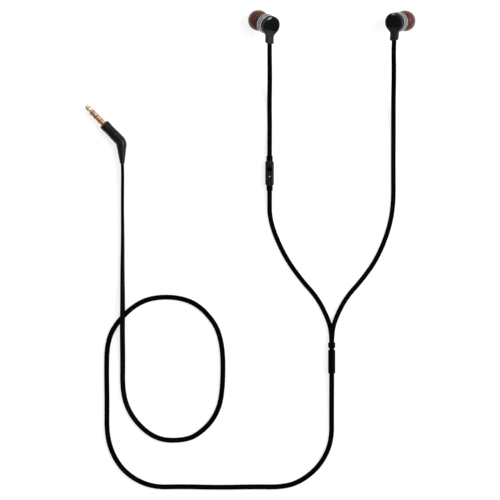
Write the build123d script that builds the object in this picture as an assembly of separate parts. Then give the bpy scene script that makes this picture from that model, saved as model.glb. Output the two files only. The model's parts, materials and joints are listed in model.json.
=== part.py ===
from build123d import *
import os
from math import cos, sin, tan, radians, sqrt, pi

# Wired in-ear earphones: two earbuds, an in-line remote, a cord splitter with a slider,
# and an angled four-pole plug. Millimetres. The earphones lie on the surface z = 0, each earbud
# standing on its ear tip, and the cords run from the earbuds towards -Y.

# ---------- driving dimensions ----------

# earbud, measured along its own axis from the rear face (0) towards the ear tip
CAP_R = 5.4                 # black rear cap
CAP_LEN = 3.1
FACE_R = 5.05               # glossy plate set into the rear face
FACE_THICK = 0.7
FACE_PROUD = 0.15           # how far the plate stands out of the cap's rear edge
REAR = 0.25                 # where the cap's rear edge starts
CHORD_Y = -2.85             # the plate ends at this straight edge, above the stem
RING_R = 5.5                # metal trim ring
RING_END = 7.0
GROOVES_AT = (3.95, 5.45)   # start of each turned groove in the trim ring
GROOVE = 0.7
GROOVE_DEPTH = 0.3
WALL = 0.75
NOZZLE_R = 2.3
NOZZLE_END = 17.2
NOZZLE_LIP_R = 2.36
TIP_CENTRE = 14.3           # centre of the round ear tip
TIP_R = 5.92
TIP_WALL = 0.5
TIP_BACK = 11.5
TIP_CORE_R = 3.0
TIP_BORE_R = 2.42
STEM_W = 4.7
STEM_D = 2.7
STEM_ROOT = 4.0             # where the stem starts, from the earbud's axis
STEM_Z = 1.6                # the stem's centre there, from the rear face
STEM_LEN = 5.9              # from its root to its end
STEM_LEAN = 12.0            # degrees that the stem leans away from the ear tip
STOP_R = 0.72

# cords
EAR_CORD_R = 0.8
MAIN_CORD_R = 1.0
CORD_IN_STEM = 5.3          # how far the ear cords reach into the stems
ARC_SHARE = 0.45            # how much of the shorter run each arc takes up

# remote
REMOTE_X = -34.75
REMOTE_Y = -81.75
REMOTE_L = 14.2
REMOTE_W = 4.8
REMOTE_H = 4.4
GROMMET_L = 2.75
GROMMET_R = 1.7
BUTTON_Y = REMOTE_Y + 2.1
BUTTON_L = 2.0
BUTTON_W = 2.6
BUTTON_TRAVEL = 0.25
BUTTON_LOW = 2.9            # height of the button's underside
DISH_R = 4.0
MIC_Y = REMOTE_Y - 1.85
MIC_PORT_R = 0.4

# splitter and slider
SPLIT_W = 4.0
SPLIT_H = 4.9
SPLIT_Z = 0.5 * SPLIT_H
SLIDER_TOP = -176.4
SLIDER_L = 3.1
SPLIT_TOP = -180.5
SPLIT_L = 13.3
STACK = 0.85                # half the height between the two stacked ear cords

# plug
JACK_R = 1.75
JACK_L = 14.0
JACK_CORE_R = 0.5
JACK_CORE_END = 24.0
BAND = 0.75                 # width of one insulating band
BANDS_AT = (4.7, 7.9, 11.0)  # start of each band, from the jack's end
PLUG_TIP = (-137.4, -44.1)
PLUG_HEADING = -45.7
PLUG_CORNER = 28.3          # from the jack's end to the corner of the plug's axis
PLUG_R = 2.9
PLUG_END = (-117.1, -76.4)
PLUG_END_R = 1.25
PLUG_BEND_R = 4.0
COLLAR_L = 0.35

OUT = "parts"


# ---------- helpers ----------

def save(shape, name):
    """Write one node."""
    export_step(shape, os.path.join(OUT, name + ".step"))


def turned(outline):
    """Solid of revolution about Z. The outline is a list of edges or of (radius, height) points."""
    if not isinstance(outline[0], Edge):
        outline = [Polyline(*outline, close=True)]
    return revolve(Plane.XZ * make_face(outline), Axis.Z)


def tube_ring(outer, inner, low, high):
    """Plain ring about Z."""
    return turned([(inner, low), (outer, low), (outer, high), (inner, high)])


def disc(radius, low, high):
    """Plain disc about Z."""
    return Pos(0, 0, low) * extrude(Circle(radius), amount=high - low)


def bud_plane(cap_xy, heading, tilt, down_heading):
    """The earbud's own frame: Z from the rear face to the ear tip, -Y towards the stem.

    The headings are those of Z and -Y seen from above. The round ear tip rests on z = 0."""
    away = (cos(radians(heading)), sin(radians(heading)))
    axis = Vector(sin(radians(tilt)) * away[0], sin(radians(tilt)) * away[1], -cos(radians(tilt)))
    flat = Vector(cos(radians(down_heading)), sin(radians(down_heading)), 0)
    down = Vector(flat.X, flat.Y, -flat.dot(axis) / axis.Z).normalized()
    origin = Vector(cap_xy[0], cap_xy[1], TIP_CENTRE * cos(radians(tilt)) + TIP_R)
    return Plane(origin=origin, x_dir=(down * -1).cross(axis), z_dir=axis)


LEFT = bud_plane((-33.52, -0.28), 152.6, 36.0, -96.7)
RIGHT = bud_plane((33.99, 1.64), 13.4, 30.0, -89.0)
CHORD_TURN = {"left": 11.0, "right": -3.0}   # degrees the straight edge leans on each side
STEM = Location((0, -STEM_ROOT, STEM_Z), (STEM_LEAN, 0, 0))   # its own -Y runs down the stem


def cord(name, points, radius):
    """A cord's tube: straight runs joined by the largest tangent arcs that fit."""
    points = [Vector(*p) for p in points]
    runs = [(b - a).length for a, b in zip(points, points[1:])]
    radii = []
    for i in range(1, len(points) - 1):
        turn = (points[i] - points[i - 1]).get_angle(points[i + 1] - points[i])
        radii.append(ARC_SHARE * min(runs[i - 1], runs[i]) / tan(radians(turn) / 2))
    path = FilletPolyline(*points, radius=radii)
    start = Plane(origin=points[0], z_dir=points[1] - points[0])
    tube = sweep(start * Circle(radius), path=path)
    ideal = pi * radius ** 2 * path.length
    print(name, "length %.1f  volume/ideal %.4f" % (path.length, tube.volume / ideal))
    print("   radii", " ".join("%.0f" % r for r in radii))
    print("   runs ", " ".join("%.1f" % r for r in runs))
    save(tube, name)


# ---------- earbud pieces, each in the earbud's own frame ----------

def face_outline(radius, chord, turn):
    """A disc cut off by a straight edge, turned about its centre."""
    half = sqrt(radius ** 2 - chord ** 2)
    arc = ThreePointArc((-half, chord), (0, radius), (half, chord))
    return Rot(0, 0, turn) * make_face([arc, Line((half, chord), (-half, chord))])


def rear_cap(turn):
    """Black cap with the stem that the cord leaves by."""
    shell = turned([(0, REAR), (CAP_R - 0.45, REAR), (CAP_R, REAR + 0.45), (CAP_R, CAP_LEN), (0, CAP_LEN)])
    root = 0.4
    stem = Pos(0, 0.5 * (root - STEM_LEN), 0) * Box(STEM_W, STEM_LEN + root, STEM_D)
    stem = fillet(stem.edges().filter_by(Axis.Y), 0.9)
    body = shell + STEM * stem
    body -= disc(CAP_R - WALL, 1.35, CAP_LEN)
    body -= extrude(face_outline(FACE_R, CHORD_Y, turn), amount=REAR - FACE_PROUD + FACE_THICK)
    body -= Pos(0, 0, 0.9) * Cylinder(3.2, 1.2)
    bore_end = 1.5
    bore = Pos(0, 0.5 * bore_end - 0.5 * STEM_LEN - 1, 0) * Rot(90, 0, 0)
    return body - STEM * bore * Cylinder(EAR_CORD_R + 0.05, STEM_LEN + bore_end + 2)


def face_plate(turn):
    """Glossy plate with a straight lower edge, set into the rear face."""
    plate = extrude(face_outline(FACE_R - 0.05, CHORD_Y + 0.05, turn), amount=FACE_THICK)
    return Pos(0, 0, REAR - FACE_PROUD) * plate


def trim_ring():
    """Metal ring with two turned grooves."""
    ring = tube_ring(RING_R, CAP_R - WALL, CAP_LEN, RING_END)
    for z in GROOVES_AT:
        ring -= tube_ring(RING_R + 1, RING_R - GROOVE_DEPTH, z, z + GROOVE)
    return ring


def front_housing():
    """Front shell with the sound nozzle."""
    inner = CAP_R - WALL - 0.05
    return turned([
        (inner, 6.4), (inner, RING_END), (5.25, RING_END), (5.25, 7.4), (4.75, 8.8), (3.6, 10.2),
        (NOZZLE_R, 10.9), (NOZZLE_R, NOZZLE_END - 1.2), (NOZZLE_LIP_R, NOZZLE_END - 1),
        (NOZZLE_LIP_R, NOZZLE_END - 0.4), (2.1, NOZZLE_END), (1.75, NOZZLE_END), (1.75, 10.6),
        (3.1, 9.6), (4.1, 8.2), (4.1, 6.4)])


def driver_pieces():
    """The dynamic driver, from the yoke behind to the diaphragm in front."""
    frame = tube_ring(4.6, 3.45, 3.9, 5.2) + tube_ring(4.6, 4.2, 5.2, 6.2)
    yoke = disc(3.4, 3.5, 4.0) + tube_ring(3.4, 3.0, 4.0, 5.6)
    magnet = disc(2.3, 4.0, 5.1)
    pole_plate = disc(2.35, 5.1, 5.6)
    voice_coil = tube_ring(2.75, 2.55, 4.8, 6.2)
    dome = turned([
        (0, 7.0), (1.4, 6.85), (2.5, 6.4), (3.0, 6.3), (4.6, 6.3), (4.6, 6.2), (2.5, 6.2),
        (1.4, 6.7), (0, 6.85)])
    return {"driver_frame": frame, "yoke": yoke, "magnet": magnet, "pole_plate": pole_plate,
            "voice_coil": voice_coil, "diaphragm": dome}


def terminal_board():
    """Small board behind the driver that the cord's wires are soldered to."""
    board = Pos(0, -2.6, 3.2) * Box(3.2, 2.0, 0.5)
    pads = [Pos(x, -2.6, 2.85) * Cylinder(0.45, 0.2) for x in (-0.8, 0.8)]
    return board + pads


def cord_stop():
    """Crimped stop that keeps the cord from pulling out of the stem."""
    return STEM * Pos(0, 0.3, 0) * Rot(90, 0, 0) * Cylinder(STOP_R, 1.6)


def ear_tip_core():
    """Inner tube of the ear tip, which grips the nozzle."""
    front = TIP_CENTRE + sqrt(TIP_R ** 2 - TIP_CORE_R ** 2)
    return turned([
        (TIP_BORE_R, TIP_BACK), (TIP_CORE_R, TIP_BACK), (TIP_CORE_R, front), (2.6, front + 0.2),
        (2.1, front - 0.2), (1.9, NOZZLE_END + 0.2), (TIP_BORE_R, NOZZLE_END + 0.1)])


def ear_tip_dome():
    """Thin round skirt of the ear tip, open at the back."""
    inner_r = TIP_R - TIP_WALL

    def at(radius, angle):
        return (radius * sin(radians(angle)), TIP_CENTRE + radius * cos(radians(angle)))

    def front(radius):
        return (TIP_CORE_R, TIP_CENTRE + sqrt(radius ** 2 - TIP_CORE_R ** 2))

    def back(radius):
        drop = TIP_CENTRE - TIP_BACK
        return (sqrt(radius ** 2 - drop ** 2), TIP_BACK)

    return turned([
        ThreePointArc(front(TIP_R), at(TIP_R, 80), back(TIP_R)),
        Line(back(TIP_R), back(inner_r)),
        ThreePointArc(back(inner_r), at(inner_r, 80), front(inner_r)),
        Line(front(inner_r), front(TIP_R))])


def earbud(side, plane):
    """Every piece of one earbud, placed on its plane."""
    pieces = {
        "rear_cap": rear_cap(CHORD_TURN[side]),
        "face_plate": face_plate(CHORD_TURN[side]),
        "trim_ring": trim_ring(),
        "front_housing": front_housing(),
        "nozzle_mesh": disc(1.7, NOZZLE_END - 0.7, NOZZLE_END - 0.5),
        "terminal_board": terminal_board(),
        "cord_stop": cord_stop(),
        "ear_tip_core": ear_tip_core(),
        "ear_tip_dome": ear_tip_dome(),
    }
    pieces.update(driver_pieces())
    for name, shape in pieces.items():
        save(plane.location * shape, side + "_" + name)


# ---------- remote ----------

def remote_outline(length, width, cut):
    """Rectangle with its four corners cut off, centred on the remote."""
    x = 0.5 * width
    y = 0.5 * length
    corners = [(x - cut, y), (x, y - 1.4 * cut), (x, -y + 1.4 * cut), (x - cut, -y),
               (-x + cut, -y), (-x, -y + 1.4 * cut), (-x, y - 1.4 * cut), (-x + cut, y)]
    return make_face(Polyline(*corners, close=True))


def remote_shells():
    """Top and bottom shells, with openings for the button and the microphone."""
    body = extrude(remote_outline(REMOTE_L, REMOTE_W, 0.75), amount=REMOTE_H)
    rims = body.edges().group_by(Axis.Z)
    body = fillet(rims[0] + rims[-1], 0.7)
    body -= Pos(0, 0, 0.8) * extrude(remote_outline(REMOTE_L - 1.8, REMOTE_W - 1.4, 0.5), amount=2.8)
    body -= Rot(90, 0, 0) * Pos(0, 0.5 * REMOTE_H, 0) * Cylinder(0.9, REMOTE_L + 2)
    body = Pos(REMOTE_X, REMOTE_Y, 0) * body
    top = split(body, bisect_by=Plane.XY.offset(0.5 * REMOTE_H), keep=Keep.TOP)
    bottom = split(body, bisect_by=Plane.XY.offset(0.5 * REMOTE_H), keep=Keep.BOTTOM)
    hole = extrude(SlotOverall(BUTTON_W + 0.1, BUTTON_L + 0.1), amount=3)
    top -= Pos(REMOTE_X, BUTTON_Y, 3) * hole
    top -= Pos(REMOTE_X, MIC_Y, 4) * Cylinder(MIC_PORT_R, 3)
    return top, bottom


def remote_button():
    """Oval push button with a shallow dish in its top."""
    cap = extrude(SlotOverall(BUTTON_W, BUTTON_L), amount=REMOTE_H - BUTTON_LOW)
    flange = extrude(SlotOverall(BUTTON_W + 0.5, BUTTON_L + 0.5), amount=0.3)
    dish = Pos(0, 0, REMOTE_H - BUTTON_LOW + DISH_R - 0.15) * Sphere(DISH_R)
    return Pos(REMOTE_X, BUTTON_Y, BUTTON_LOW) * (cap + flange - dish)


def remote():
    top, bottom = remote_shells()
    save(top, "remote_top_shell")
    save(bottom, "remote_bottom_shell")
    save(remote_button(), "remote_button")
    save(Pos(REMOTE_X, REMOTE_Y, 1.45) * Box(3.0, 11.4, 0.5), "remote_board")
    plunger_top = BUTTON_LOW - BUTTON_TRAVEL - 0.03
    switch = Pos(0, 0, 2.0) * Box(2.4, 2.6, 0.6) + Pos(0, 0, plunger_top - 0.25) * Cylinder(0.6, 0.5)
    save(Pos(REMOTE_X, BUTTON_Y, 0) * switch, "remote_switch")
    save(Pos(REMOTE_X, MIC_Y, 2.2) * Cylinder(1.3, 1.0), "microphone")
    save(Pos(REMOTE_X, MIC_Y, 3.5) * Cylinder(0.9, 0.16), "microphone_mesh")
    half = 0.5 * REMOTE_L
    for name, y, way in (("remote_upper_grommet", half, 1), ("remote_lower_grommet", -half, -1)):
        sleeve = turned([(0.9, 0), (GROMMET_R, 0), (GROMMET_R, GROMMET_L - 0.5),
                         (GROMMET_R - 0.35, GROMMET_L), (0.9, GROMMET_L)])
        place = Plane(origin=(REMOTE_X, REMOTE_Y + y, 0.5 * REMOTE_H), z_dir=(0, way, 0))
        save(place.location * sleeve, name)


# ---------- splitter and slider ----------

def oval_bar(top_y, length, inset=0.0):
    """Upright rounded bar along -Y with its ends softened."""
    face = RectangleRounded(SPLIT_W - 2 * inset, SPLIT_H - 2 * inset, 0.42 * SPLIT_W - inset)
    bar = extrude(Plane(origin=(0, top_y, SPLIT_Z), x_dir=(1, 0, 0), z_dir=(0, -1, 0)) * face, amount=length)
    return bar


def splitter():
    sleeve = oval_bar(SPLIT_TOP, SPLIT_L)
    ends = sleeve.edges().group_by(Axis.Y)
    sleeve = fillet(ends[0] + ends[-1], 0.4)
    core = Pos(0, SPLIT_TOP - 0.5 * SPLIT_L, SPLIT_Z) * Box(2.0, SPLIT_L - 4, 3.0)
    save(sleeve - core, "splitter_sleeve")
    save(core, "splitter_core")
    slider = oval_bar(SLIDER_TOP, SLIDER_L)
    ends = slider.edges().group_by(Axis.Y)
    slider = fillet(ends[0] + ends[-1], 0.35)
    slot = RectangleRounded(2.7, 3.6, 0.8)
    slider -= extrude(Plane(origin=(0, SLIDER_TOP + 1, SPLIT_Z), x_dir=(1, 0, 0), z_dir=(0, -1, 0)) * slot,
                      amount=SLIDER_L + 2)
    save(slider, "cord_slider")


# ---------- plug ----------

def plug_point(distance):
    """A point on the jack's axis, at this distance from the jack's end."""
    return Vector(PLUG_TIP[0] + distance * cos(radians(PLUG_HEADING)),
                  PLUG_TIP[1] + distance * sin(radians(PLUG_HEADING)), PLUG_R)


def plug_exit(further):
    """The point where the cord leaves the plug, or one further along the cord's first run."""
    end = Vector(*PLUG_END, PLUG_R)
    return end + (end - plug_point(PLUG_CORNER)).normalized() * further


def contact(start, end):
    """One straight metal contact, hollow for the core."""
    return tube_ring(JACK_R, JACK_CORE_R, start, end)


def plug():
    along = plug_point(1) - plug_point(0)
    jack = Plane(origin=plug_point(0), z_dir=along).location
    first, second, third = BANDS_AT
    tip = turned([(0, 0), (0.75, 0), (1.2, 0.35), (1.6, 1.6), (1.6, 2.3), (1.25, 3.3), (1.25, 3.7),
                  (JACK_R, 4.3), (JACK_R, first), (0, first)])
    save(jack * tip, "plug_tip")
    save(jack * contact(first + BAND, second), "plug_ring_1")
    save(jack * contact(second + BAND, third), "plug_ring_2")
    save(jack * contact(third + BAND, JACK_L), "plug_sleeve")
    bands = [contact(start, start + BAND) for start in BANDS_AT]
    save(jack * Compound(children=bands), "plug_insulators")
    save(jack * disc(JACK_CORE_R, first, JACK_CORE_END), "plug_core")
    save(jack * tube_ring(PLUG_R - 0.15, JACK_CORE_R, JACK_L, JACK_L + COLLAR_L), "plug_collar")
    corner = plug_point(PLUG_CORNER)
    out = plug_exit(0) - plug_exit(-1)
    cut = PLUG_BEND_R * tan(along.get_angle(out) * pi / 360)
    bend_start = corner - along * cut
    bend_end = corner + out * cut
    front = Plane(origin=plug_point(JACK_L + COLLAR_L), z_dir=along)
    barrel = extrude(front * Circle(PLUG_R), amount=PLUG_CORNER - cut - JACK_L - COLLAR_L)
    path = FilletPolyline(plug_point(JACK_L), corner, plug_exit(0), radius=PLUG_BEND_R)
    elbow_path = path.edges().sort_by_distance(corner)[0]
    elbow = sweep(Plane(origin=bend_start, z_dir=along) * Circle(PLUG_R), path=elbow_path)
    start = Plane(origin=bend_end, z_dir=out)
    taper = loft([start * Circle(PLUG_R), start.offset((plug_exit(0) - bend_end).length) * Circle(PLUG_END_R)])
    housing = barrel + elbow + taper
    housing -= jack * disc(JACK_CORE_R, JACK_L, JACK_CORE_END)
    save(housing, "plug_housing")


# ---------- cords ----------

def stem_exit(plane, further=0.0):
    """The point where the cord leaves the stem, or one further along the stem's direction."""
    return (plane.location * STEM * Location((0, -STEM_LEN - further, 0))).position


def mirrored(points):
    return [(-x, y, z) for x, y, z in points]


def cords():
    low = EAR_CORD_R
    main_low = MAIN_CORD_R
    merge = [(25.25, -129.9, low), (16.84, -141.6, low), (7.9, -151.5, low)]
    inside = 0.5 * REMOTE_L - 0.8
    mid = 0.5 * REMOTE_H
    cord("left_cord_upper", [
        stem_exit(LEFT, -CORD_IN_STEM), stem_exit(LEFT, 5), (-34.6, -29, 6.5),
        (-34.85, -42.5, low), (-34.65, -54, low), (REMOTE_X, REMOTE_Y + inside + 10.5, mid),
        (REMOTE_X, REMOTE_Y + inside, mid)], EAR_CORD_R)
    cord("left_cord_lower", [
        (REMOTE_X, REMOTE_Y - inside, mid), (REMOTE_X, REMOTE_Y - inside - 9.5, mid),
        (-34.7, -106, low), (-31.7, -116.5, low)]
         + mirrored(merge)
         + [(-1.85, -163.6, 1.2), (0, -171.5, SPLIT_Z - STACK), (0, SPLIT_TOP, SPLIT_Z - STACK)],
         EAR_CORD_R)
    cord("right_cord", [
        stem_exit(RIGHT, -CORD_IN_STEM), stem_exit(RIGHT, 3), (34.5, -26, 12.5), (34.45, -41, 4.3),
        (34.6, -57, low), (34.5, -80, low), (34.65, -99.9, low), (31.7, -114.5, low)]
         + merge
         + [(1.85, -163.6, 2.3), (0, -171.5, SPLIT_Z + STACK), (0, SPLIT_TOP, SPLIT_Z + STACK)],
         EAR_CORD_R)
    cord("main_cord", [
        (0, SPLIT_TOP - SPLIT_L, SPLIT_Z), (0, -203.5, SPLIT_Z), (-0.05, -216, main_low),
        (0, -232.5, main_low), (-6.5, -245.5, main_low), (-17.1, -254.2, main_low),
        (-27.4, -257.4, main_low), (-43, -257.2, main_low), (-63, -257.6, main_low),
        (-84, -257.1, main_low), (-100.5, -257.5, main_low), (-113.7, -251.1, main_low),
        (-121.8, -241.2, main_low), (-125.9, -228.5, main_low), (-125.7, -211, main_low),
        (-126.0, -192, main_low), (-125.7, -177.8, main_low), (-122.1, -167.7, main_low),
        (-111.7, -156.4, main_low), (-100.4, -151.1, main_low), (-84.6, -151.1, main_low),
        (-72.1, -156.9, main_low), (-60.9, -172.6, main_low), (-60.8, -205.8, main_low),
        (-65.7, -219.4, main_low), (-74.9, -228.2, main_low), (-82.8, -231.2, main_low),
        (-95.7, -231.2, main_low), (-105.7, -225.2, main_low), (-113.7, -215.1, main_low),
        (-117.1, -203.5, main_low), (-116.9, -186, main_low), (-117.1, -170, 6.0),
        (-116.9, -154.5, 6.0), (-117.1, -138.5, main_low), (-116.9, -118, main_low),
        (-117.1, -100.5, main_low), (-117.0, -90, 1.9), plug_exit(4.5), plug_exit(0)],
        MAIN_CORD_R)


os.makedirs(OUT, exist_ok=True)
earbud("left", LEFT)
earbud("right", RIGHT)
remote()
splitter()
plug()
cords()
for label, plane in (("left", LEFT), ("right", RIGHT)):
    print(label, "axis", plane.z_dir, "stem end", stem_exit(plane), "rear face", plane.origin)
    print("   towards the stem", plane.y_dir * -1, "further on", stem_exit(plane, 10))
print("plug exit", plug_exit(0), "further on", plug_exit(4.5))
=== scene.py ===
import bpy
import bmesh
import json
from math import acos, asin, cos, sin, tan, pi, radians, sqrt
from mathutils import Matrix, Vector


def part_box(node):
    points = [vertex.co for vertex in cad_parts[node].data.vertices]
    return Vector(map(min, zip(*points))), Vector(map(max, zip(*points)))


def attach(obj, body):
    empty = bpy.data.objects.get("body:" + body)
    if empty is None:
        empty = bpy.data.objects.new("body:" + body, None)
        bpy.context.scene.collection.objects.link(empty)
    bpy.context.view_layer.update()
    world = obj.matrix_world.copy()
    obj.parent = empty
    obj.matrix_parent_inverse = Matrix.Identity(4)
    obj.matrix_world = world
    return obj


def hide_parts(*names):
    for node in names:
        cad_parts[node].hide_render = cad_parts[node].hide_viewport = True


# Wired earphones, looks only. Outlines and profiles are in millimetres, in the frame of each
# piece; MM turns them into metres when a mesh is made.

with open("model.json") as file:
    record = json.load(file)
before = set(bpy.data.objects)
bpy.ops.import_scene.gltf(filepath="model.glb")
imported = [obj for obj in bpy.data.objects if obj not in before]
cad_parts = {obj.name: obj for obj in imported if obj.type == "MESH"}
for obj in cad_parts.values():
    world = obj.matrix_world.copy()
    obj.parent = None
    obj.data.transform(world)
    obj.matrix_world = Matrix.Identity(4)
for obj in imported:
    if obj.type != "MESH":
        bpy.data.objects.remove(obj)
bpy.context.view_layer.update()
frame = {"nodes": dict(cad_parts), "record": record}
MM = 0.001


# ---------- camera, floor and light ----------

VIEW_CENTRE = (-45.7, -124.7, 0)
VIEW_WIDTH = 280
LENS = 300
SENSOR = 36
WORLD_LIGHT = 0.10
FLOOR_HALF = 6  # in metres, as are the lights' places and sizes
FLOOR_GLOW = 0.74
LIT_PLACE = (-0.045, -0.12, 0)
# Each light's name, place, diameter and power in watts.
LIGHTS = (("left", (-0.9, 0.25, 1.25), 0.8, 3), ("right", (0.95, 0.1, 1.0), 1.0, 18),
          ("far", (0.0, 1.05, 0.95), 1.1, 6), ("near", (0.1, -1.35, 0.95), 1.1, 5))


def make_camera():
    """Straight down, with +Y at the top of the picture, through a long lens."""
    data = bpy.data.cameras.new("camera")
    data.sensor_width = SENSOR
    data.lens = LENS
    data.clip_end = 20
    camera = bpy.data.objects.new("camera", data)
    camera.location = Vector(VIEW_CENTRE) * MM + Vector((0, 0, VIEW_WIDTH * MM * LENS / SENSOR))
    bpy.context.scene.collection.objects.link(camera)
    bpy.context.scene.camera = camera


def area_light(name, place, size, power):
    """A round light of this diameter that points at the earphones."""
    data = bpy.data.lights.new(name, "AREA")
    data.shape = "DISK"
    data.size = size
    data.energy = power
    light = bpy.data.objects.new(name, data)
    light.location = place
    light.rotation_euler = (Vector(LIT_PLACE) - Vector(place)).to_track_quat("-Z", "Y").to_euler()
    bpy.context.scene.collection.objects.link(light)


def make_studio():
    """A bright floor under a dim white sky, lit mostly from the right."""
    scene = bpy.context.scene
    scene.view_settings.view_transform = "Standard"
    world = bpy.data.worlds.new("studio")
    world.use_nodes = True
    background = world.node_tree.nodes["Background"]
    background.inputs["Color"].default_value = (1, 1, 1, 1)
    background.inputs["Strength"].default_value = WORLD_LIGHT
    scene.world = world
    for light in LIGHTS:
        area_light(*light)
    mesh = bpy.data.meshes.new("floor")
    half = FLOOR_HALF
    corners = [(-half, -half, 0), (half, -half, 0), (half, half, 0), (-half, half, 0)]
    mesh.from_pydata(corners, [], [(0, 1, 2, 3)])
    floor = bpy.data.objects.new("floor", mesh)
    scene.collection.objects.link(floor)
    mesh.materials.append(surface("floor_paper", (0.4, 0.4, 0.4), 0.9, speckle=0.0, bump=0.02, grain=400,
                                  Emission_Color=(1, 1, 1, 1), Emission_Strength=FLOOR_GLOW))


# ---------- materials ----------

BROAD_SHARE = 0.06  # how many features the broad noise has for each of the fine noise
COLOUR_FROM = 0.35
COLOUR_TO = 0.65
BUMP_DEPTH = 0.02


def surface(name, colour, rough, metallic=0.0, speckle=0.12, rough_spread=0.08, bump=0.1, grain=3000,
            **sockets):
    """A procedural surface: faint colour variation, uneven gloss and a fine bump.

    grain is the number of noise features in a metre, and sockets are constants on the shader."""
    material = bpy.data.materials.new(name)
    material.use_nodes = True
    nodes = material.node_tree.nodes
    links = material.node_tree.links
    shader = nodes["Principled BSDF"]
    shader.inputs["Metallic"].default_value = metallic
    for socket, value in sockets.items():
        shader.inputs[socket.replace("_", " ")].default_value = value
    place = nodes.new("ShaderNodeTexCoord")
    fine = nodes.new("ShaderNodeTexNoise")
    fine.inputs["Scale"].default_value = grain
    fine.inputs["Detail"].default_value = 4
    links.new(place.outputs["Object"], fine.inputs["Vector"])
    broad = nodes.new("ShaderNodeTexNoise")
    broad.inputs["Scale"].default_value = grain * BROAD_SHARE
    broad.inputs["Detail"].default_value = 3
    links.new(place.outputs["Object"], broad.inputs["Vector"])
    ramp = nodes.new("ShaderNodeValToRGB")
    dark = [channel * (1 - speckle) for channel in colour]
    light = [min(1.0, channel * (1 + speckle)) for channel in colour]
    ramp.color_ramp.elements[0].position = COLOUR_FROM
    ramp.color_ramp.elements[0].color = (*dark, 1)
    ramp.color_ramp.elements[1].position = COLOUR_TO
    ramp.color_ramp.elements[1].color = (*light, 1)
    links.new(broad.outputs["Fac"], ramp.inputs["Fac"])
    links.new(ramp.outputs["Color"], shader.inputs["Base Color"])
    gloss = nodes.new("ShaderNodeMapRange")
    gloss.inputs["To Min"].default_value = max(0.02, rough - rough_spread)
    gloss.inputs["To Max"].default_value = min(1.0, rough + rough_spread)
    links.new(fine.outputs["Fac"], gloss.inputs["Value"])
    links.new(gloss.outputs["Result"], shader.inputs["Roughness"])
    relief = nodes.new("ShaderNodeBump")
    relief.inputs["Strength"].default_value = bump
    relief.inputs["Distance"].default_value = BUMP_DEPTH * MM
    links.new(fine.outputs["Fac"], relief.inputs["Height"])
    links.new(relief.outputs["Normal"], shader.inputs["Normal"])
    return material


def make_materials():
    """One material for each slot of the record."""
    return {
        "cap_plastic": surface("cap_plastic", (0.010, 0.010, 0.011), 0.5, bump=0.25, grain=5000,
                               Specular_IOR_Level=0.16),
        "face_gloss": surface("face_gloss", (0.003, 0.003, 0.0035), 0.16, rough_spread=0.03, bump=0.02,
                              Specular_IOR_Level=0.4),
        "trim_metal": surface("trim_metal", (0.53, 0.535, 0.545), 0.42, 1.0, speckle=0.05, bump=0.08,
                              Anisotropic=0.4),
        "mesh_metal": surface("mesh_metal", (0.72, 0.72, 0.73), 0.5, 0.6),
        "inner_plastic": surface("inner_plastic", (0.18, 0.18, 0.18), 0.5),
        "inner_steel": surface("inner_steel", (0.45, 0.45, 0.46), 0.35, 1.0),
        "coil_copper": surface("coil_copper", (0.6, 0.28, 0.13), 0.35, 1.0),
        "film": surface("film", (0.55, 0.55, 0.48), 0.25),
        "board": surface("board", (0.03, 0.16, 0.07), 0.45),
        "tip_core": surface("tip_core", (0.5, 0.08, 0.038), 0.5, speckle=0.1,
                            Subsurface_Weight=0.15, Subsurface_Scale=0.6 * MM),
        "tip_dome": surface("tip_dome", (0.02, 0.018, 0.017), 0.35, bump=0.05, Alpha=0.37,
                            Sheen_Weight=0.08, Sheen_Roughness=0.3),
        "remote_plastic": surface("remote_plastic", (0.004, 0.004, 0.0045), 0.42, bump=0.2, grain=5000,
                                  Specular_IOR_Level=0.22),
        "button_plastic": surface("button_plastic", (0.0003, 0.0003, 0.0003), 0.5, bump=0.1,
                                  Specular_IOR_Level=0.0),
        "soft_rubber": surface("soft_rubber", (0.0005, 0.0005, 0.0006), 0.5, bump=0.2,
                               Specular_IOR_Level=0.03),
        "contact_gold": surface("contact_gold", (0.68, 0.58, 0.39), 0.33, 1.0, speckle=0.03,
                                rough_spread=0.03, bump=0.0),
        "red_plastic": surface("red_plastic", (0.6, 0.02, 0.008), 0.4),
        "plug_rubber": surface("plug_rubber", (0.004, 0.004, 0.0045), 0.4, bump=0.25, grain=4000,
                               Specular_IOR_Level=0.24),
        "cord_jacket": surface("cord_jacket", (0.0005, 0.0005, 0.0006), 0.42, bump=0.15, grain=4000,
                               Specular_IOR_Level=0.03),
    }


# ---------- mesh helpers ----------

EDGE_SHARE = 0.48  # the most of an edge that one rounded corner takes
WELD = 1e-7  # in metres


def rounded(corners, radius, steps=4):
    """A closed outline with its corners rounded. A corner (x, y, r) has its own radius."""
    outline = []
    count = len(corners)
    for i, corner in enumerate(corners):
        here = Vector(corner[:2])
        back = Vector(corners[i - 1][:2]) - here
        ahead = Vector(corners[(i + 1) % count][:2]) - here
        r = corner[2] if len(corner) > 2 else radius
        half = back.angle(ahead) / 2
        if r <= 0 or half > pi / 2 - 0.01:
            outline.append(here)
            continue
        reach = min(r / tan(half), EDGE_SHARE * back.length, EDGE_SHARE * ahead.length)
        r = reach * tan(half)
        centre = here + (back.normalized() + ahead.normalized()).normalized() * (r / sin(half))
        first = here + back.normalized() * reach - centre
        last = here + ahead.normalized() * reach - centre
        sweep = first.angle(last)
        for k in range(steps + 1):
            f = k / steps
            arm = (first * sin((1 - f) * sweep) + last * sin(f * sweep)) / sin(sweep)
            outline.append(centre + arm)
    return outline


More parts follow.
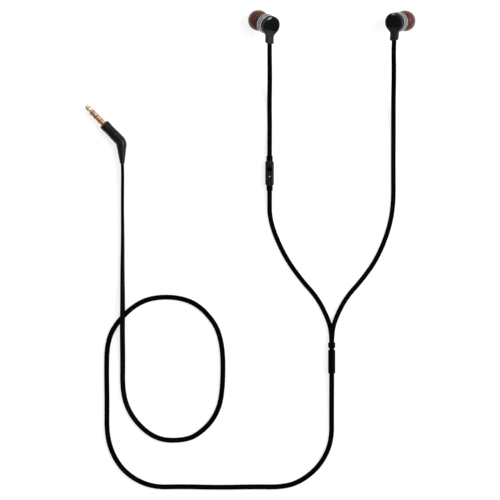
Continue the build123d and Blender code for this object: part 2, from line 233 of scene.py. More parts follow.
def add_mesh(name, verts, faces, place, material, sharp=38):
    """An object whose mesh is placed in the row frame, in metres."""
    mesh = bpy.data.meshes.new(name)
    mesh.from_pydata([place @ Vector(v) for v in verts], [], faces)
    shape = bmesh.new()
    shape.from_mesh(mesh)
    bmesh.ops.remove_doubles(shape, verts=shape.verts, dist=WELD)
    bmesh.ops.recalc_face_normals(shape, faces=shape.faces)
    shape.to_mesh(mesh)
    shape.free()
    mesh.shade_smooth()
    mesh.set_sharp_from_angle(angle=radians(sharp))
    mesh.materials.append(MATERIALS[material])
    piece = bpy.data.objects.new(name, mesh)
    bpy.context.scene.collection.objects.link(piece)
    return piece


def lathe(profile, segments=120):
    """Verts and faces of a closed (radius, height) profile turned about Z."""
    verts = []
    rows = []
    for radius, height in profile:
        if radius < 1e-6:
            rows.append([len(verts)] * segments)
            verts.append((0, 0, height))
        else:
            rows.append(range(len(verts), len(verts) + segments))
            verts += [(radius * cos(2 * pi * i / segments), radius * sin(2 * pi * i / segments), height)
                      for i in range(segments)]
    faces = []
    for low, high in zip(rows, rows[1:] + rows[:1]):
        for i in range(segments):
            j = (i + 1) % segments
            corners = list(dict.fromkeys((low[i], low[j], high[j], high[i])))
            if len(corners) > 2:
                faces.append(corners)
    return verts, faces


def loft(loops, closed=True):
    """Verts and faces of a skin over loops of equal count, with its two ends filled."""
    count = len(loops[0])
    verts = [point for loop in loops for point in loop]
    faces = []
    for row in range(len(loops) - 1):
        for i in range(count):
            j = (i + 1) % count
            faces.append((row * count + i, row * count + j, (row + 1) * count + j, (row + 1) * count + i))
    if closed:
        faces.append(tuple(range(count)))
        faces.append(tuple(range((len(loops) - 1) * count, len(loops) * count)))
    return verts, faces


def punched(skin, holes):
    """Verts and faces of a body with sunk holes in its last loop's flat face.

    skin is the outer loops, first the filled far end and last the edge of the flat face. Each hole
    is its loops, first the one on the flat face and last its filled floor."""
    verts = []
    faces = []
    rims = []
    for loops in [skin] + holes:
        start = len(verts)
        part_verts, part_faces = loft(loops)
        verts += part_verts
        keep = part_faces[:-2] + ([part_faces[-2]] if loops is skin else [part_faces[-1]])
        faces += [tuple(start + i for i in face) for face in keep]
        first = start + ((len(loops) - 1) * len(loops[0]) if loops is skin else 0)
        rims.append(range(first, first + len(loops[0])))
    flat = bmesh.new()
    edges = []
    lookup = {}
    for rim in rims:
        corners = [flat.verts.new(verts[i]) for i in rim]
        lookup.update({corner: i for corner, i in zip(corners, rim)})
        edges += [flat.edges.new((corners[k - 1], corners[k])) for k in range(len(corners))]
    bmesh.ops.triangle_fill(flat, use_beauty=True, edges=edges)
    faces += [tuple(lookup[corner] for corner in face.verts) for face in flat.faces]
    flat.free()
    return verts, faces


def arc(centre, radius, first, last, steps):
    """Points and outward directions along an arc, angles in degrees."""
    result = []
    for k in range(steps + 1):
        a = radians(first + (last - first) * k / steps)
        out = Vector((cos(a), sin(a)))
        result.append((Vector(centre) + out * radius, out))
    return result


def blend_step(value, low, high):
    """0 below low, 1 above high, smooth between."""
    t = min(1.0, max(0.0, (value - low) / (high - low)))
    return t * t * (3 - 2 * t)


# ---------- cords ----------

FLOOR_GAP = 0.02  # the least height of any point of a cord
EAR_W = 2.67
EAR_T = 1.3
MAIN_W = 2.81
MAIN_T = 1.72
EAR_LOW = EAR_T / 2 + 0.03  # the middle of a cord that lies on the floor
MAIN_LOW = MAIN_T / 2 + 0.03
SPLIT_Z = 2.45
STACK = 0.66  # each ear cord's height from the splitter's middle, one over the other
LAST_STRETCH_X = (-119, -110)  # where the main cord runs straight to the plug
EDGE_TURN_Y = (-205, -95)  # where it turns on edge
FLAT_TURN = 10  # the main cord's turn before that stretch, and how far it turns there, in degrees
EDGE_TURN = 78
EAR_TURN_Y = (10, 60)  # how far from the stem the ear cords' turn fades, along -Y


def route(points):
    """Points, in metres, read from the smooth spline that has these control points."""
    data = bpy.data.curves.new("route", "CURVE")
    data.dimensions = "3D"
    spline = data.splines.new("NURBS")
    spline.points.add(len(points) - 1)
    for target, point in zip(spline.points, points):
        target.co = (*(Vector(point) * MM), 1)
    spline.order_u = 3
    spline.use_endpoint_u = True
    spline.resolution_u = 16
    holder = bpy.data.objects.new("route", data)
    mesh = bpy.data.meshes.new_from_object(holder)
    line = [vertex.co.copy() for vertex in mesh.vertices]
    bpy.data.objects.remove(holder)
    bpy.data.curves.remove(data)
    bpy.data.meshes.remove(mesh)
    return line


def cord_section(width, thick):
    """A flat cord's section: rounded edges, and a shallow groove along both flats."""
    x = width / 2
    y = thick / 2
    edge_r = 0.95 * y
    lip = 0.35
    bed = 0.12
    sunk = y - 0.07
    return rounded([
        (x, -y, edge_r), (x, y, edge_r), (lip, y, 0.3), (bed, sunk, 0.1), (-bed, sunk, 0.1),
        (-lip, y, 0.3), (-x, y, edge_r), (-x, -y, edge_r), (-lip, -y, 0.3),
        (-bed, -sunk, 0.1), (bed, -sunk, 0.1), (lip, -y, 0.3)], 0, steps=5)


def flat_cord(name, points, width, thick, twist, nodes, **facts):
    """A flat cord along its route. twist(point) is its turn about its own line, in degrees."""
    line = route(points)
    section = cord_section(width, thick)
    loops = []
    for i, point in enumerate(line):
        along = (line[min(i + 1, len(line) - 1)] - line[max(i - 1, 0)]).normalized()
        side = Vector((0, 0, 1)).cross(along).normalized()
        up = along.cross(side)
        turn = radians(twist(point / MM))
        across = side * cos(turn) + up * sin(turn)
        over = up * cos(turn) - side * sin(turn)
        loop = [point / MM + across * p.x + over * p.y for p in section]
        lift = Vector((0, 0, max(0.0, FLOOR_GAP - min(corner.z for corner in loop))))
        loops.append([corner + lift for corner in loop])
        line[i] = point + lift * MM
    verts, faces = loft(loops)
    piece = add_mesh(name, verts, faces, Matrix.Scale(MM, 4), "cord_jacket", sharp=60)
    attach(piece, "earphones")
    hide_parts(*nodes)


def main_twist(point):
    """The main cord lies nearly flat, and turns on edge over the last stretch to the plug."""
    first, last = LAST_STRETCH_X
    if first <= point.x <= last:
        return FLAT_TURN + EDGE_TURN * blend_step(point.y, *EDGE_TURN_Y)
    return 8 * sin(point.x * 0.06) + 6 * sin(point.y * 0.05)


def ear_twist(point):
    """The ear cords lie nearly flat, and leave each stem turned as the stem is."""
    stem = -32 if point.x < 0 else 29
    return 5 * sin(point.y * 0.07 + point.x * 0.05) + stem * (1 - blend_step(-point.y, *EAR_TURN_Y))


def make_cords():
    """The four cords, along the part's routes, lying on the floor and rising into the pieces."""
    low = EAR_LOW
    merge = [(25.25, -129.9, low), (16.84, -141.6, low), (7.9, -151.5, low)]
    left_merge = [(-x, y, z) for x, y, z in merge]
    flat_cord("left_cord_above_remote", [
        (-34.81, -4.29, 15.15), (-34.83, -14.56, 14.38), (-34.6, -29, 6.5), (-34.85, -42.5, low),
        (-34.65, -54, low), (-34.75, -64.95, 2.2), (-34.75, -75.45, 2.2)],
        EAR_W, EAR_T, ear_twist, ["left_cord_upper"], exit=(-0.03482, -0.00958, 0.01476),
        far_end="fitting", with_pieces=REMOTE_PIECES)
    flat_cord("left_cord_below_remote", [
        (-34.75, -88.05, 2.2), (-34.75, -97.55, 2.2), (-34.7, -106, low), (-31.7, -116.5, low)]
        + left_merge
        + [(-1.85, -163.6, 1.2), (0, -171.5, SPLIT_Z - STACK), (0, -180.5, SPLIT_Z - STACK)],
        EAR_W, EAR_T, ear_twist, ["left_cord_lower"], exit=(-0.03475, -0.0916, 0.0022),
        far_end="fitting", with_pieces=["splitter_body", "splitter_core"])
    flat_cord("right_cord_line", [
        (34.79, -2.74, 16.46), (34.09, -11.0, 16.96), (34.5, -26, 12.5), (34.45, -41, 4.3),
        (34.6, -57, low), (34.5, -80, low), (34.65, -99.9, low), (31.7, -114.5, low)]
        + merge
        + [(1.85, -163.6, 2.3), (0, -171.5, SPLIT_Z + STACK), (0, -180.5, SPLIT_Z + STACK)],
        EAR_W, EAR_T, ear_twist, ["right_cord"], exit=(0.03434, -0.00801, 0.01678),
        far_end="fitting", with_pieces=["splitter_body", "splitter_core"])
    low = MAIN_LOW
    flat_cord("main_cord_line", [
        (0, -193.8, SPLIT_Z), (0, -203.5, SPLIT_Z), (-0.05, -216, low), (0, -232.5, low),
        (-6.5, -245.5, low), (-17.1, -254.2, low), (-27.4, -257.4, low), (-43, -257.2, low),
        (-63, -257.6, low), (-84, -257.1, low), (-100.5, -257.5, low), (-113.7, -251.1, low),
        (-121.8, -241.2, low), (-125.9, -228.5, low), (-125.7, -211, low), (-126.0, -192, low),
        (-125.7, -177.8, low), (-122.1, -167.7, low), (-111.7, -156.4, low), (-100.4, -151.1, low),
        (-84.6, -151.1, low), (-72.1, -156.9, low), (-60.9, -172.6, low), (-60.8, -205.8, low),
        (-65.7, -219.4, low), (-74.9, -228.2, low), (-82.8, -231.2, low), (-95.7, -231.2, low),
        (-105.7, -225.2, low), (-113.7, -215.1, low), (-117.1, -203.5, low), (-116.9, -186, 1.0),
        (-117.1, -170, 3.3), (-116.9, -154.5, 3.3), (-117.1, -138.5, 1.25), (-116.9, -118, 1.3),
        (-117.1, -100.5, 1.35), (-117.0, -90, 1.9), (-116.9, -80.9, 2.9), (-117.1, -76.4, 2.9)],
        MAIN_W, MAIN_T, main_twist, ["main_cord"], exit=(0, -0.1938, 0.00245), far_end="plug",
        with_pieces=PLUG_PIECES)


# ---------- earbuds ----------

# Heights are along the earbud's axis from its rear. The stem runs towards -Y.
MOUNT_Z = 18  # where the record's mount is
CAP_R = 5.4
REAR = 0.25
CAP_END = 3.1
STEM_HALF = 2.35
STEM_END = 9.9
STEM_ROOT = 4.0
STEM_Z = 1.6
STEM_LEAN = 12
NECK_R = 1.6
FACE_R = 5.0
FACE_CHORD = -2.79
FACE_RIM = 0.3
RECESS_R = 5.06
RECESS_CHORD = -2.84
RECESS_DEPTH = 0.5
RING_R = 5.5
RING_END = 7.0
RING_GROOVES = (3.8, 5.35)
GROOVE_W = 0.95
GROOVE_R = 5.2
# Radius of the dark sleeve that shows in the ring's grooves as painted shade.
GROOVE_SHADE_R = 5.44
NOZZLE_END = 17.2
TIP_CENTRE = 14.3
TIP_R = 5.92
TIP_BACK = 11.5
SKIRT_END = 10.8
SKIN_T = 0.3
BODY_INSET = 0.45
BODY_T = 0.3
GLINT_INSERT_HALF = 16
# The two earbuds lie a little differently. Turns are in degrees.
DOWN_HEADING = {"left": -96.7, "right": -89.0}
CHORD_TURN = {"left": 11.0, "right": -3.0}
# The rim insert is partly painted highlight: its turn sets where the glint shows on each earbud, and its dip
# tilts the left one so that it shines less.
GLINT_INSERT_TURN = {"left": -24.0, "right": 0.0}
GLINT_INSERT_DIP = {"left": 0.07, "right": 0.0}


def bud_place(side):
    """Metres in the row frame from millimetres in the earbud's own frame.

    Its Z runs from the rear face to the ear tip, along the ear tip's joint, and -Y runs towards
    the stem. The record gives the joint and a mount along it."""
    mount = next(m for m in frame["record"]["mounts"] if m["name"] == side + "_ear")
    axis = Vector(mount["axis"]).normalized()
    origin = Vector(mount["pos_m"]) - axis * MOUNT_Z * MM
    heading = radians(DOWN_HEADING[side])
    flat = Vector((cos(heading), sin(heading), 0))
    up = -Vector((flat.x, flat.y, -flat.dot(axis) / axis.z)).normalized()
    turn = Matrix((up.cross(axis), up, axis)).transposed().to_4x4()
    return Matrix.Translation(origin) @ turn @ Matrix.Scale(MM, 4)


def cap_outline():
    """The rear cap's outline with its stem: points and outward directions, anticlockwise."""
    neck_x = STEM_HALF + NECK_R
    neck_y = -sqrt((CAP_R + NECK_R) ** 2 - neck_x ** 2)
    meet = 180 / pi * Vector((neck_x, neck_y)).angle(Vector((1, 0)))
    corner = 0.6
    foot_x = STEM_HALF - corner
    foot_y = -STEM_END + corner
    half = arc((0, 0), CAP_R, 90, -meet, 56)
    neck = arc((neck_x, neck_y), NECK_R, 180 - meet, 180, 12)
    half += [(point, -out) for point, out in neck[1:]]
    side_steps = 8
    for k in range(1, side_steps):
        half.append((Vector((STEM_HALF, neck_y + (foot_y - neck_y) * k / side_steps)), Vector((1, 0))))
    half += arc((foot_x, foot_y), corner, 0, -90, 6)
    half.append((Vector((foot_x / 2, -STEM_END)), Vector((0, -1))))
    other = [(Vector((-point.x, point.y)), Vector((-out.x, out.y))) for point, out in half[1:]]
    return half + [(Vector((0, -STEM_END)), Vector((0, -1)))] + other[::-1]


def bevelled_loops(outline, low, high, low_bevel, high_bevel, steps=6):
    """Loops up a body whose edges are rounded. Each bevel is a radius as a function of the point."""
    loops = []
    for k in range(steps + 1):
        a = pi / 2 * k / steps
        loops.append([(*(p - n * low_bevel(p) * (1 - sin(a))), low + low_bevel(p) * (1 - cos(a)))
                      for p, n in outline])
    for k in range(steps + 1):
        a = pi / 2 * k / steps
        loops.append([(*(p - n * high_bevel(p) * (1 - cos(a))), high - high_bevel(p) * (1 - sin(a)))
                      for p, n in outline])
    return loops


def lean(point):
    """A point of the cap's straight shape, moved to where the leaning stem has it."""
    x, y, z = point
    turn = radians(STEM_LEAN) * blend_step(-y, STEM_ROOT - 0.6, STEM_ROOT + 1.2)
    along = y + STEM_ROOT
    up = z - STEM_Z
    return (x, along * cos(turn) + up * sin(turn) - STEM_ROOT, up * cos(turn) + along * sin(turn) + STEM_Z)


def chord_outline(side, radius, chord, corner=0.25):
    """A disc cut by a straight edge, with softened corners: points and outward directions."""
    end = 180 / pi * Vector((sqrt(radius ** 2 - chord ** 2), chord)).angle(Vector((1, 0)))
    half = arc((0, 0), radius, 90, -end + 3, 40)
    last = half[-1][0]
    half += [(Vector((last.x - corner * 0.35, chord + corner * 0.12)), Vector((0.7, -0.7)))]
    for k in range(1, 6):
        half.append((Vector(((last.x - corner) * (1 - k / 6), chord)), Vector((0, -1))))
    other = [(Vector((-p.x, p.y)), Vector((-n.x, n.y))) for p, n in half[1:]]
    turn = Matrix.Rotation(radians(CHORD_TURN[side]), 2)
    outline = half + [(Vector((0, chord)), Vector((0, -1)))] + other[::-1]
    return [(turn @ p, turn @ n) for p, n in outline]


def flat_loop(outline, inset, height):
    return [(*(p - n * inset), height) for p, n in outline]


def make_cap(side, place):
    """Rear cap and stem, with the recess for the face plate."""
    def rear_bevel(p):
        """Small round the cap, larger along the stem and small again at its foot."""
        return 0.24 + 0.7 * blend_step(-p.y, 4.6, 6.5) - 0.5 * blend_step(-p.y, 9.1, 9.8)

    def front_bevel(p):
        return 0.1 + 0.75 * blend_step(-p.y, 5.2, 6.5) - 0.4 * blend_step(-p.y, 9.1, 9.8)

    loops = bevelled_loops(cap_outline(), REAR, CAP_END, rear_bevel, front_bevel)
    recess = chord_outline(side, RECESS_R, RECESS_CHORD)
    hole = [flat_loop(recess, 0, REAR), flat_loop(recess, 0.02, REAR + RECESS_DEPTH)]
    verts, faces = punched(loops[::-1], [hole])
    verts = [lean(v) for v in verts]
    piece = add_mesh(side + "_cap_shell", verts, faces, place, "cap_plastic", sharp=40)
    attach(piece, "earphones")
    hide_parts(side + "_rear_cap")


def make_bush(side, place):
    """The soft lining of the stem's mouth, where the cord goes in."""
    mouth = rounded([(1.6, -0.95), (1.6, 0.95), (-1.6, 0.95), (-1.6, -0.95)], 0.6, 6)
    inner = rounded([(1.2, -0.66), (1.2, 0.66), (-1.2, 0.66), (-1.2, -0.66)], 0.45, 6)
    loops = [[lean((p.x, -STEM_END + depth, STEM_Z + p.y)) for p in shape]
             for shape, depth in ((inner, 0.3), (inner, -0.16), (mouth, -0.1), (mouth, 0.3))]
    verts, faces = loft(loops + [loops[0]], closed=False)
    bush = add_mesh(side + "_stem_bush", verts, faces, place, "soft_rubber")
    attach(bush, "earphones")


def make_face(side, place):
    """Glossy face plate with a softly rounded rim."""
    outline = chord_outline(side, FACE_R, FACE_CHORD)
    front = REAR + RECESS_DEPTH
    back = REAR - 0.15
    loops = [flat_loop(outline, 0, front)]
    for k in range(6):
        a = pi / 2 * k / 5
        loops.append(flat_loop(outline, FACE_RIM * (1 - cos(a)), back + 0.2 * (1 - sin(a))))
    verts, faces = loft(loops)
    piece = add_mesh(side + "_face", verts, faces, place, "face_gloss", sharp=50)
    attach(piece, "earphones")
    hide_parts(side + "_face_plate")


def make_glint_insert(side, place):
    """Small metal insert with a ragged inner edge, at the top of the cap's rear edge. It is a guessed part
    that stands in for a glint there, so it is partly painted highlight, its ragged edge drawn after the
    glint's shape.
    """
    dip = GLINT_INSERT_DIP[side]
    steps = 24
    loops = []
    for k in range(steps + 1):
        a = radians(90 + GLINT_INSERT_TURN[side] + GLINT_INSERT_HALF - 2 * GLINT_INSERT_HALF * k / steps)
        ragged = 0.62 + 0.12 * sin(2.6 * k) + 0.1 * sin(pi * k / steps)
        depth = max(0.05, ragged * min(1.0, k / 3, (steps - k) / 3))
        # The dip tilts the insert's face, to dim its painted glint.
        section = ((0.2, 0.4), (0.2, 0.1), (0.26, 0.03), (0.4 + 0.5 * depth, 0.03 + 0.5 * dip),
                   (0.44 + depth, 0.03 + dip), (0.5 + depth, 0.09 + dip), (0.5 + depth, 0.4))
        loops.append([((CAP_R - inset) * cos(a), (CAP_R - inset) * sin(a), z) for inset, z in section])
    verts, faces = loft(loops)
    glint_piece = add_mesh(side + "_rim_glint_insert", verts, faces, place, "trim_metal", sharp=30)
    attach(glint_piece, "earphones")


def make_turned(side, place):
    """The pieces of an earbud that are turned about its axis."""
    back = CAP_END
    ring = [(4.65, back, 0), (RING_R, back, 0.12)]
    for groove in RING_GROOVES:
        end = groove + GROOVE_W
        ring += [(RING_R, groove, 0.1), (GROOVE_R, groove + 0.05, 0.03), (GROOVE_R, end - 0.05, 0.03),
                 (RING_R, end, 0.1)]
    ring += [(RING_R, RING_END, 0.18), (4.65, RING_END, 0)]
    # A dark sleeve just under the ring's face that fills its grooves: painted shade in the grooves.
    sleeve = [(4.9, back + 0.2, 0), (GROOVE_SHADE_R, back + 0.2, 0), (GROOVE_SHADE_R, RING_END - 0.3, 0),
              (4.9, RING_END - 0.3, 0)]
    lip = NOZZLE_END - 0.4
    housing = [(4.6, 6.4, 0), (4.6, RING_END, 0), (5.22, RING_END, 0.03), (5.22, 7.45, 0.3), (4.7, 8.9, 0.8),
               (3.5, 10.2, 0.8), (2.3, 10.9, 0.4), (2.3, lip - 0.8, 0.1), (2.38, lip - 0.55, 0.1),
               (2.38, lip, 0.1), (2.12, NOZZLE_END, 0.1), (1.75, NOZZLE_END, 0.05), (1.75, 10.6, 0.1),
               (3.1, 9.6, 0.1), (4.1, 8.2, 0.1), (4.1, 6.4, 0)]
    for name, profile, material, node in (
            ("ring", ring, "trim_metal", "trim_ring"),
            ("ring_groove_shade", sleeve, "soft_rubber", "trim_ring"),
            ("front_shell", housing, "cap_plastic", "front_housing")):
        verts, faces = lathe(rounded(profile, 0))
        piece = add_mesh(side + "_" + name, verts, faces, place, material)
        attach(piece, "earphones")
        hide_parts(side + "_" + node)


def dome_line(radius, back, front_r, steps=28):
    """Points down a dome of this radius, from its front edge to its open back."""
    first = asin(front_r / radius)
    last = pi - acos((TIP_CENTRE - back) / radius)
    return [(radius * sin(a), TIP_CENTRE + radius * cos(a))
            for a in (first + (last - first) * k / steps for k in range(steps + 1))]


def make_tip(side, place):
    """Ear tip: a smoky outer skin over a red-brown body with its inner tube."""
    skin = dome_line(TIP_R, SKIRT_END, 2.75) + dome_line(TIP_R - SKIN_T, SKIRT_END, 2.75)[::-1]
    verts, faces = lathe(skin)
    dome = add_mesh(side + "_tip_skin", verts, faces, place, "tip_dome", sharp=70)
    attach(dome, side + "_ear_tip")
    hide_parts(side + "_ear_tip_dome")
    outer = dome_line(TIP_R - BODY_INSET, SKIRT_END + 0.1, 2.7)
    inner = dome_line(TIP_R - BODY_INSET - BODY_T, SKIRT_END + 0.1, 3.0)
    step = NOZZLE_END + 0.1
    tube = [(2.45, step + 2.3), (2.05, step + 2.0), (1.9, step + 0.1), (2.42, step), (2.42, TIP_BACK),
            (3.0, TIP_BACK), (3.0, step + 0.8)]
    verts, faces = lathe(outer + inner[::-1] + tube[::-1])
    core = add_mesh(side + "_tip_body", verts, faces, place, "tip_core", sharp=50)
    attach(core, side + "_ear_tip")
    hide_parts(side + "_ear_tip_core")


def make_mesh_screen(side, place):
    """Woven wire screen across the nozzle's mouth."""
    radius = 1.72
    wire = 0.045
    weave = 0.05
    pitch = 0.24
    level = NOZZLE_END - 0.55
    steps = 18
    ring = 6
    count = int(radius / pitch)
    verts = []
    faces = []
    for axis in (0, 1):
        for row in range(-count, count + 1):
            offset = row * pitch
            reach = sqrt(radius ** 2 - offset ** 2)
            way = 1 if (row + axis) % 2 else -1
            loops = []
            for k in range(steps + 1):
                t = -reach + 2 * reach * k / steps
                wave = weave * cos(pi * t / pitch) * way
                loop = []
                for m in range(ring):
                    a = 2 * pi * m / ring
                    across = offset + wire * cos(a)
                    height = level + wave + wire * sin(a)
                    loop.append((t, across, height) if axis == 0 else (across, t, height))
                loops.append(loop)
            start = len(verts)
            wire_verts, wire_faces = loft(loops)
            verts += wire_verts
            faces += [tuple(start + i for i in face) for face in wire_faces]
    piece = add_mesh(side + "_screen", verts, faces, place, "mesh_metal")
    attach(piece, "earphones")
    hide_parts(side + "_nozzle_mesh")


def make_earbuds():
    for side in ("left", "right"):
        place = bud_place(side)
        make_cap(side, place)
        make_bush(side, place)
        make_face(side, place)
        make_glint_insert(side, place)
        make_turned(side, place)
        make_tip(side, place)
        make_mesh_screen(side, place)


# ---------- remote ----------

# Every shown piece that moves with a cord ending here.
REMOTE_PIECES = ["remote_upper_half", "remote_lower_half", "button_cap", "microphone_screen",
                 "remote_upper_sleeve", "remote_lower_sleeve", "remote_board", "remote_switch", "microphone"]
REMOTE_HALF_W = 2.42
REMOTE_HALF_L = 7.12
REMOTE_CUT = 0.72
REMOTE_SEAM_Z = 2.2
REMOTE_TOP = 4.4
SEAM = 0.06  # the small chamfer along each half's seam
SEAM_GAP = 0.01  # half of the gap
BUTTON_Y = 2.1
BUTTON_HOLE = (2.7, 2.1)
BUTTON_SIZE = (2.58, 1.98)
# The button's rim and its dished top, as steps of (inset, height).
BUTTON_STEPS = ((0, 3.3), (0, 4.08), (0.05, 4.16), (0.14, 4.19), (0.26, 4.15), (0.5, 4.03), (0.75, 3.97),
                (0.9, 3.95))
MIC_Y = -1.85
MIC_R = 0.4


def outward_outline(corners, radius, steps=5):
    """A rounded outline with an outward direction at each point."""
    points = rounded(corners, radius, steps)
    result = []
    for i, p in enumerate(points):
        along = points[(i + 1) % len(points)] - points[i - 1]
        result.append((p, Vector((along.y, -along.x)).normalized()))
    return result


def slot_outline(width, height):
    """An oval with straight middle stretches, anticlockwise."""
    x = width / 2
    y = height / 2
    return outward_outline([(x, -y), (x, y), (-x, y), (-x, -y)], 0.98 * y, 10)


def shell_loops(edge_z, face_z):
    """Loops of one half of the remote, from its seam to the rounded edge of its flat face."""
    x = REMOTE_HALF_W
    y = REMOTE_HALF_L
    cut = REMOTE_CUT
    slant = 1.4 * cut
    corners = [(x, -y + slant), (x, y - slant), (x - cut, y), (-x + cut, y), (-x, y - slant),
               (-x, -y + slant), (-x + cut, -y), (x - cut, -y)]
    outline = outward_outline(corners, 0.3)
    way = 1 if face_z > edge_z else -1
    loops = [flat_loop(outline, SEAM, edge_z), flat_loop(outline, 0, edge_z + way * SEAM)]
    for k in range(9):
        a = pi / 2 * k / 8
        loops.append(flat_loop(outline, 0.95 * (1 - cos(a)), face_z - way * 1.15 * (1 - sin(a))))
    return loops


def make_shells(place):
    """The remote's two halves. The upper one is open for the button and the microphone."""
    holes = []
    for shape, offset, chamfer, depth in ((slot_outline(*BUTTON_HOLE), BUTTON_Y, 0.2, 1.45),
                                          (arc((0, 0), MIC_R, 0, 345, 23), MIC_Y, 0.16, 0.5)):
        moved = [(p + Vector((0, offset)), n) for p, n in shape]
        holes.append([flat_loop(moved, -chamfer, REMOTE_TOP), flat_loop(moved, 0, REMOTE_TOP - chamfer),
                      flat_loop(moved, 0, REMOTE_TOP - depth)])
    upper = punched(shell_loops(REMOTE_SEAM_Z + SEAM_GAP, REMOTE_TOP), holes)
    lower = loft(shell_loops(REMOTE_SEAM_Z - SEAM_GAP, 0.0))
    for name, (verts, faces), node in (("remote_upper_half", upper, "remote_top_shell"),
                                       ("remote_lower_half", lower, "remote_bottom_shell")):
        piece = add_mesh(name, verts, faces, place, "remote_plastic", sharp=35)
        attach(piece, "earphones")
        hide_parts(node)


def make_button(place):
    oval = [(p + Vector((0, BUTTON_Y)), n) for p, n in slot_outline(*BUTTON_SIZE)]
    verts, faces = loft([flat_loop(oval, inset, height) for inset, height in BUTTON_STEPS])
    button = add_mesh("button_cap", verts, faces, place, "button_plastic", sharp=50)
    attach(button, "remote_button")
    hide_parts("remote_button")


def make_microphone_screen(place):
    profile = rounded([(0, 3.92, 0), (0.39, 3.92, 0), (0.39, 4.08, 0.05), (0.25, 4.14, 0.05),
                       (0, 4.16, 0)], 0)
    verts, faces = lathe(profile)
    hole_place = place @ Matrix.Translation((0, MIC_Y, 0))
    screen = add_mesh("microphone_screen", verts, faces, hole_place, "mesh_metal")
    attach(screen, "earphones")
    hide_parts("microphone_mesh")


def make_sleeves(place):
    """The soft sleeve at each end of the remote, with a groove round it, where a cord goes in."""
    profile = rounded([(0.7, -0.4, 0), (1.6, -0.4, 0), (1.78, 0.1, 0.1), (1.78, 1.55, 0.08),
                       (1.66, 1.62, 0.05), (1.66, 1.8, 0.05), (1.78, 1.87, 0.08), (1.76, 2.5, 0.15),
                       (1.5, 2.75, 0.12), (0.7, 2.75, 0)], 0)
    verts, faces = lathe(profile, 64)
    for name, way in (("upper", 1), ("lower", -1)):
        turn = Matrix.Rotation(-way * pi / 2, 4, "X")
        end_place = place @ Matrix.Translation((0, way * REMOTE_HALF_L, REMOTE_SEAM_Z)) @ turn
        sleeve = add_mesh("remote_" + name + "_sleeve", verts, faces, end_place, "soft_rubber")
        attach(sleeve, "earphones")
        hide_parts("remote_" + name + "_grommet")


def make_remote():
    low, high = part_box("remote_top_shell")
    centre = (low + high) / 2
    place = Matrix.Translation((centre.x, centre.y, 0)) @ Matrix.Scale(MM, 4)
    make_shells(place)
    make_button(place)
    make_microphone_screen(place)
    make_sleeves(place)


# ---------- splitter and slider ----------

BAR_W = 4.0
BAR_H = 4.9
BAR_R = 1.65
BAR_ENDS = ((0, 0.5), (0.05, 0.34), (0.18, 0.16), (0.45, 0.02), (0.6, 0))  # steps of (along, inset)
SLIDER_SOFTNESS = 0.56  # the slider's end insets, as a share of the splitter's
OPENING_HALF_W = 1.64
OPENING_HALF_H = 1.9


def bar_loops(length, ends):
    """Loops along -Y of a rounded bar, its ends softened by the (along, inset) steps."""
    x = BAR_W / 2
    z = BAR_H / 2
    shape = outward_outline([(x, -z), (x, z), (-x, z), (-x, -z)], BAR_R, 8)
    stations = list(ends) + [(length - s, inset) for s, inset in ends[::-1]]
    return [[(p.x - n.x * inset, -s, p.y - n.y * inset) for p, n in shape] for s, inset in stations]


def bar_place(node):
    """Millimetres along -Y from the +Y end of a CAD node, and how long the node is."""
    low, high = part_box(node)
    start = ((low.x + high.x) / 2, high.y, (low.z + high.z) / 2)
    return Matrix.Translation(start) @ Matrix.Scale(MM, 4), (high.y - low.y) / MM


def make_splitter():
    place, length = bar_place("splitter_sleeve")
    verts, faces = loft(bar_loops(length, BAR_ENDS))
    piece = add_mesh("splitter_body", verts, faces, place, "soft_rubber", sharp=45)
    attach(piece, "earphones")
    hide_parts("splitter_sleeve")


def make_slider():
    """A ring of the splitter's section, open along its length for both cords."""
    place, length = bar_place("cord_slider")
    outside = bar_loops(length, [(s, SLIDER_SOFTNESS * inset) for s, inset in BAR_ENDS])
    x = OPENING_HALF_W
    z = OPENING_HALF_H
    corners = rounded([(x, -z), (x, z), (-x, z), (-x, -z)], 0.5, 8)
    opening = resample_loop(corners, len(outside[0]))
    inside = [[(p.x, -s, p.y) for p in opening] for s in (length, length - 0.1, 0.1, 0)]
    verts, faces = loft(outside + inside + [outside[0]], closed=False)
    piece = add_mesh("slider_ring", verts, faces, place, "soft_rubber", sharp=45)
    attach(piece, "cord_slider")
    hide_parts("cord_slider")


def resample_loop(loop, count):
    """The closed loop again with this many points, evenly spaced, starting where it starts."""
    points = loop + [loop[0]]
    spans = [(b - a).length for a, b in zip(points, points[1:])]
    total = sum(spans)
    result = []
    for k in range(count):
        target = total * k / count
        i = 0
        while target > spans[i]:
            target -= spans[i]
            i += 1
        result.append(points[i].lerp(points[i + 1], target / spans[i]))
    return result


# ---------- plug ----------

# Every shown piece that moves with the main cord's end.
PLUG_PIECES = ["plug_shell", "jack_tip", "jack_ring_front", "jack_ring_back", "jack_sleeve", "jack_bands",
               "jack_collar", "plug_core"]
JACK_R = 1.75
JACK_L = 14.0
BANDS_AT = (4.7, 7.9, 11.0)
BAND = 0.75
CORE_R = 0.6
JACK_MOUNT = 9.15  # how far the record's mount is from the jack's end
HOUSING_START = 14.35
PLUG_CORNER = 28.3
PLUG_BEND_R = 4.0
PLUG_Z = 2.9
PLUG_R = 2.9
PLUG_END = (-117.1, -76.4)
PLUG_END_R = 1.25
RIBS_FROM = 3.0
RIBS_TO = 7.6
RIB_PITCH = 0.92
RIB_DEPTH = 0.3
SEAM_BACK = 8.0  # the housing's seam, measured from its thin end
SEAM_DEPTH = 0.1


